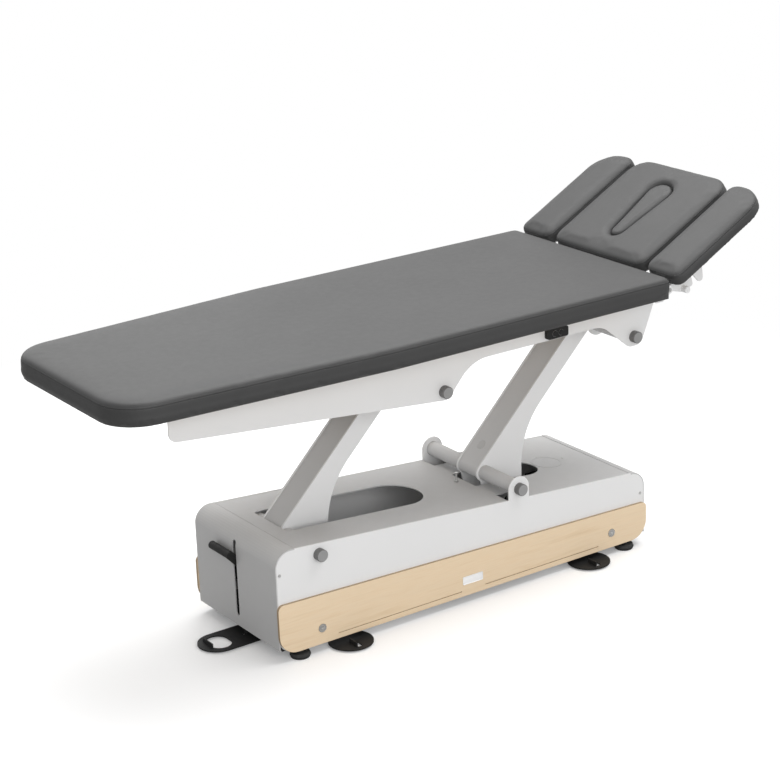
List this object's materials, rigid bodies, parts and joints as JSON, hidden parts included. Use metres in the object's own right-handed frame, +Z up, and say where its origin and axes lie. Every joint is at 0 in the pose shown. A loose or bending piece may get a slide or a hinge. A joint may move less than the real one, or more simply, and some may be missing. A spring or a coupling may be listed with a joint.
{
  "type": "electric massage table",
  "caption": "Electric massage table with a wedge base, two parallel lifting legs, a long tapered pad and a tilting three-part head section with a face slot.",
  "frame": {"origin": "on the floor under the centre of the table's outline with the head section raised as pictured", "axes": "+X along the table to the head end, +Y to the far side, away from the hand buttons, +Z up"},
  "size_m": [1.941, 0.66, 0.9637],
  "materials": {
    "white_paint": "smooth white powder coat",
    "grey_paint": "fine grey powder coat",
    "dark_paint": "matt black powder coat",
    "cap_grey": "matt grey plastic",
    "black_plastic": "matt black plastic",
    "steel": "brushed",
    "zinc": "zinc plated",
    "birch": "clear lacquered pale plywood",
    "board_ply": "bare plywood",
    "rubber": "matt black rubber",
    "castor_tyre": "grey-black tread",
    "pad_cover": "fine-grained dark grey artificial leather"
  },
  "bodies": {
    "base": {"side_plate_near": "white_paint", "side_plate_far": "white_paint", "top_plate": "grey_paint", "foot_end_cover": "grey_paint", "head_end_cover": "grey_paint", "wood_panel_near": "birch", "wood_panel_far": "birch", "base_cross_frame": "white_paint", "rubber_feet": "rubber", "castor_bearings": "white_paint", "pivot_shafts_lower": "steel", "pivot_caps_lower": "cap_grey", "stop_bolt": "steel", "wood_panel_screws": "steel", "cover_screws": "steel", "actuator_housing": "black_plastic", "control_unit": "black_plastic", "mains_inlet": "black_plastic"},
    "actuator_rod": {"actuator_rod": "steel"},
    "foot_control": {"foot_control_frame": "dark_paint"},
    "castor_foot": {"castor_shaft_foot": "zinc", "castor_pedal": "dark_paint"},
    "castor_head": {"castor_shaft_head": "zinc"},
    "castor_link": {"castor_link_rod": "zinc"},
    "wheel_foot_near": {"castor_wheel_foot_near": "castor_tyre"},
    "wheel_foot_far": {"castor_wheel_foot_far": "castor_tyre"},
    "wheel_head_near": {"castor_wheel_head_near": "castor_tyre"},
    "wheel_head_far": {"castor_wheel_head_far": "castor_tyre"},
    "leg_foot": {"leg_foot_plates": "white_paint", "leg_foot_cover": "grey_paint", "leg_foot_hubs": "white_paint"},
    "leg_head": {"leg_head_plates": "white_paint", "leg_head_cover": "grey_paint", "leg_head_hubs": "white_paint"},
    "upper_frame": {"upper_plate_near": "white_paint", "upper_plate_far": "white_paint", "upper_cross_tubes": "white_paint", "pivot_shafts_upper": "steel", "pivot_caps_upper": "cap_grey", "main_board": "board_ply", "main_pad": "pad_cover", "control_box": "black_plastic", "head_hinge_shaft": "steel", "outer_hinge_brackets": "white_paint"},
    "button_up": {"button_up": "cap_grey"},
    "button_down": {"button_down": "cap_grey"},
    "gas_cylinder": {"gas_spring_cylinder": "dark_paint"},
    "gas_rod": {"gas_spring_rod": "steel"},
    "head_section": {"head_frame": "white_paint", "centre_board": "board_ply", "centre_pad": "pad_cover"},
    "face_plug": {"face_plug": "pad_cover"},
    "armrest_near": {"armrest_board_near": "board_ply", "armrest_pad_near": "pad_cover", "armrest_arms_near": "white_paint"},
    "armrest_far": {"armrest_board_far": "board_ply", "armrest_pad_far": "pad_cover", "armrest_arms_far": "white_paint"},
    "lever_near": {"armrest_lever_near": "white_paint"},
    "lever_far": {"armrest_lever_far": "white_paint"}
  },
  "joints": [
    {"name": "lift", "type": "hinge", "parent": "base", "child": "leg_foot", "pos_m": [-0.4105, 0, 0.26103], "axis": [0, -1, 0], "range_deg": [-34, 20]},
    {"name": "upper_frame_pivot", "type": "hinge", "parent": "leg_foot", "child": "upper_frame", "pos_m": [-0.0185, 0, 0.59303], "axis": [0, -1, 0], "range_deg": [-21, 35]},
    {"name": "head_end_leg", "type": "hinge", "parent": "base", "child": "leg_head", "pos_m": [0.2115, 0, 0.27202], "axis": [0, -1, 0], "range_deg": [-35, 21]},
    {"name": "actuator_stroke", "type": "slide", "parent": "base", "child": "actuator_rod", "axis": [1, 0, 0], "range_m": [-0.07, 0.042]},
    {"name": "head_tilt", "type": "hinge", "parent": "upper_frame", "child": "head_section", "pos_m": [0.6315, 0, 0.75], "axis": [0, -1, 0], "range_deg": [-58, 6]},
    {"name": "gas_cylinder_swing", "type": "hinge", "parent": "upper_frame", "child": "gas_cylinder", "pos_m": [0.4515, 0, 0.69], "axis": [0, -1, 0], "range_deg": [-5.5, 1]},
    {"name": "gas_rod_stroke", "type": "slide", "parent": "gas_cylinder", "child": "gas_rod", "axis": [0.9801, 0, 0.1986], "range_m": [-0.033, 0.004]},
    {"name": "face_plug_lift", "type": "slide", "parent": "head_section", "child": "face_plug", "axis": [-0.4695, 0, 0.8829], "range_m": [0, 0.06]},
    {"name": "armrest_near_tilt", "type": "hinge", "parent": "head_section", "child": "armrest_near", "pos_m": [0.6315, 0, 0.75], "axis": [0, -1, 0], "range_deg": [-40, 0]},
    {"name": "armrest_near_lever", "type": "hinge", "parent": "armrest_near", "child": "lever_near", "pos_m": [0.7299, -0.276, 0.78646], "axis": [0, -1, 0], "range_deg": [0, 15], "stiffness_Nm_per_rad": 1.5, "springref_deg": -2.86},
    {"name": "armrest_far_tilt", "type": "hinge", "parent": "head_section", "child": "armrest_far", "pos_m": [0.6315, 0, 0.75], "axis": [0, -1, 0], "range_deg": [-40, 0]},
    {"name": "armrest_far_lever", "type": "hinge", "parent": "armrest_far", "child": "lever_far", "pos_m": [0.7299, 0.276, 0.78646], "axis": [0, -1, 0], "range_deg": [0, 15], "stiffness_Nm_per_rad": 1.5, "springref_deg": -2.86},
    {"name": "button_up_press", "type": "slide", "parent": "upper_frame", "child": "button_up", "axis": [0, 1, 0], "range_m": [0, 0.0015], "stiffness_N_per_m": 300, "springref_m": -0.0004},
    {"name": "button_down_press", "type": "slide", "parent": "upper_frame", "child": "button_down", "axis": [0, 1, 0], "range_m": [0, 0.0015], "stiffness_N_per_m": 300, "springref_m": -0.0004},
    {"name": "castor_pedal_press", "type": "hinge", "parent": "base", "child": "castor_foot", "pos_m": [-0.4185, 0, 0.095], "axis": [0, -1, 0], "range_deg": [0, 46]},
    {"name": "castor_head_swing", "type": "hinge", "parent": "base", "child": "castor_head", "pos_m": [0.5515, 0, 0.095], "axis": [0, -1, 0], "range_deg": [-0.5, 47]},
    {"name": "castor_link_swing", "type": "hinge", "parent": "castor_foot", "child": "castor_link", "pos_m": [-0.4185, 0, 0.125], "axis": [0, -1, 0], "range_deg": [-47, 0.5]},
    {"name": "wheel_foot_near_spin", "type": "hinge", "parent": "castor_foot", "child": "wheel_foot_near", "pos_m": [-0.4625, -0.12, 0.038], "axis": [0, 1, 0], "continuous": true},
    {"name": "wheel_foot_far_spin", "type": "hinge", "parent": "castor_foot", "child": "wheel_foot_far", "pos_m": [-0.4625, 0.12, 0.038], "axis": [0, 1, 0], "continuous": true},
    {"name": "wheel_head_near_spin", "type": "hinge", "parent": "castor_head", "child": "wheel_head_near", "pos_m": [0.5075, -0.12, 0.038], "axis": [0, 1, 0], "continuous": true},
    {"name": "wheel_head_far_spin", "type": "hinge", "parent": "castor_head", "child": "wheel_head_far", "pos_m": [0.5075, 0.12, 0.038], "axis": [0, 1, 0], "continuous": true},
    {"name": "foot_control_slide", "type": "slide", "parent": "base", "child": "foot_control", "axis": [1, 0, 0], "range_m": [-0.01, 0.01], "stiffness_N_per_m": 800}
  ],
  "couplings": [
    {"joint": "upper_frame_pivot", "follows": "lift", "ratio": -1},
    {"joint": "head_end_leg", "follows": "lift", "ratio": 1},
    {"joint": "actuator_stroke", "follows": "lift", "m_per_rad": 0.116},
    {"joint": "gas_cylinder_swing", "follows": "head_tilt", "ratio": 0.08},
    {"joint": "gas_rod_stroke", "follows": "head_tilt", "m_per_rad": 0.031},
    {"joint": "castor_head_swing", "follows": "castor_pedal_press", "ratio": 1},
    {"joint": "castor_link_swing", "follows": "castor_pedal_press", "ratio": -1}
  ]
}
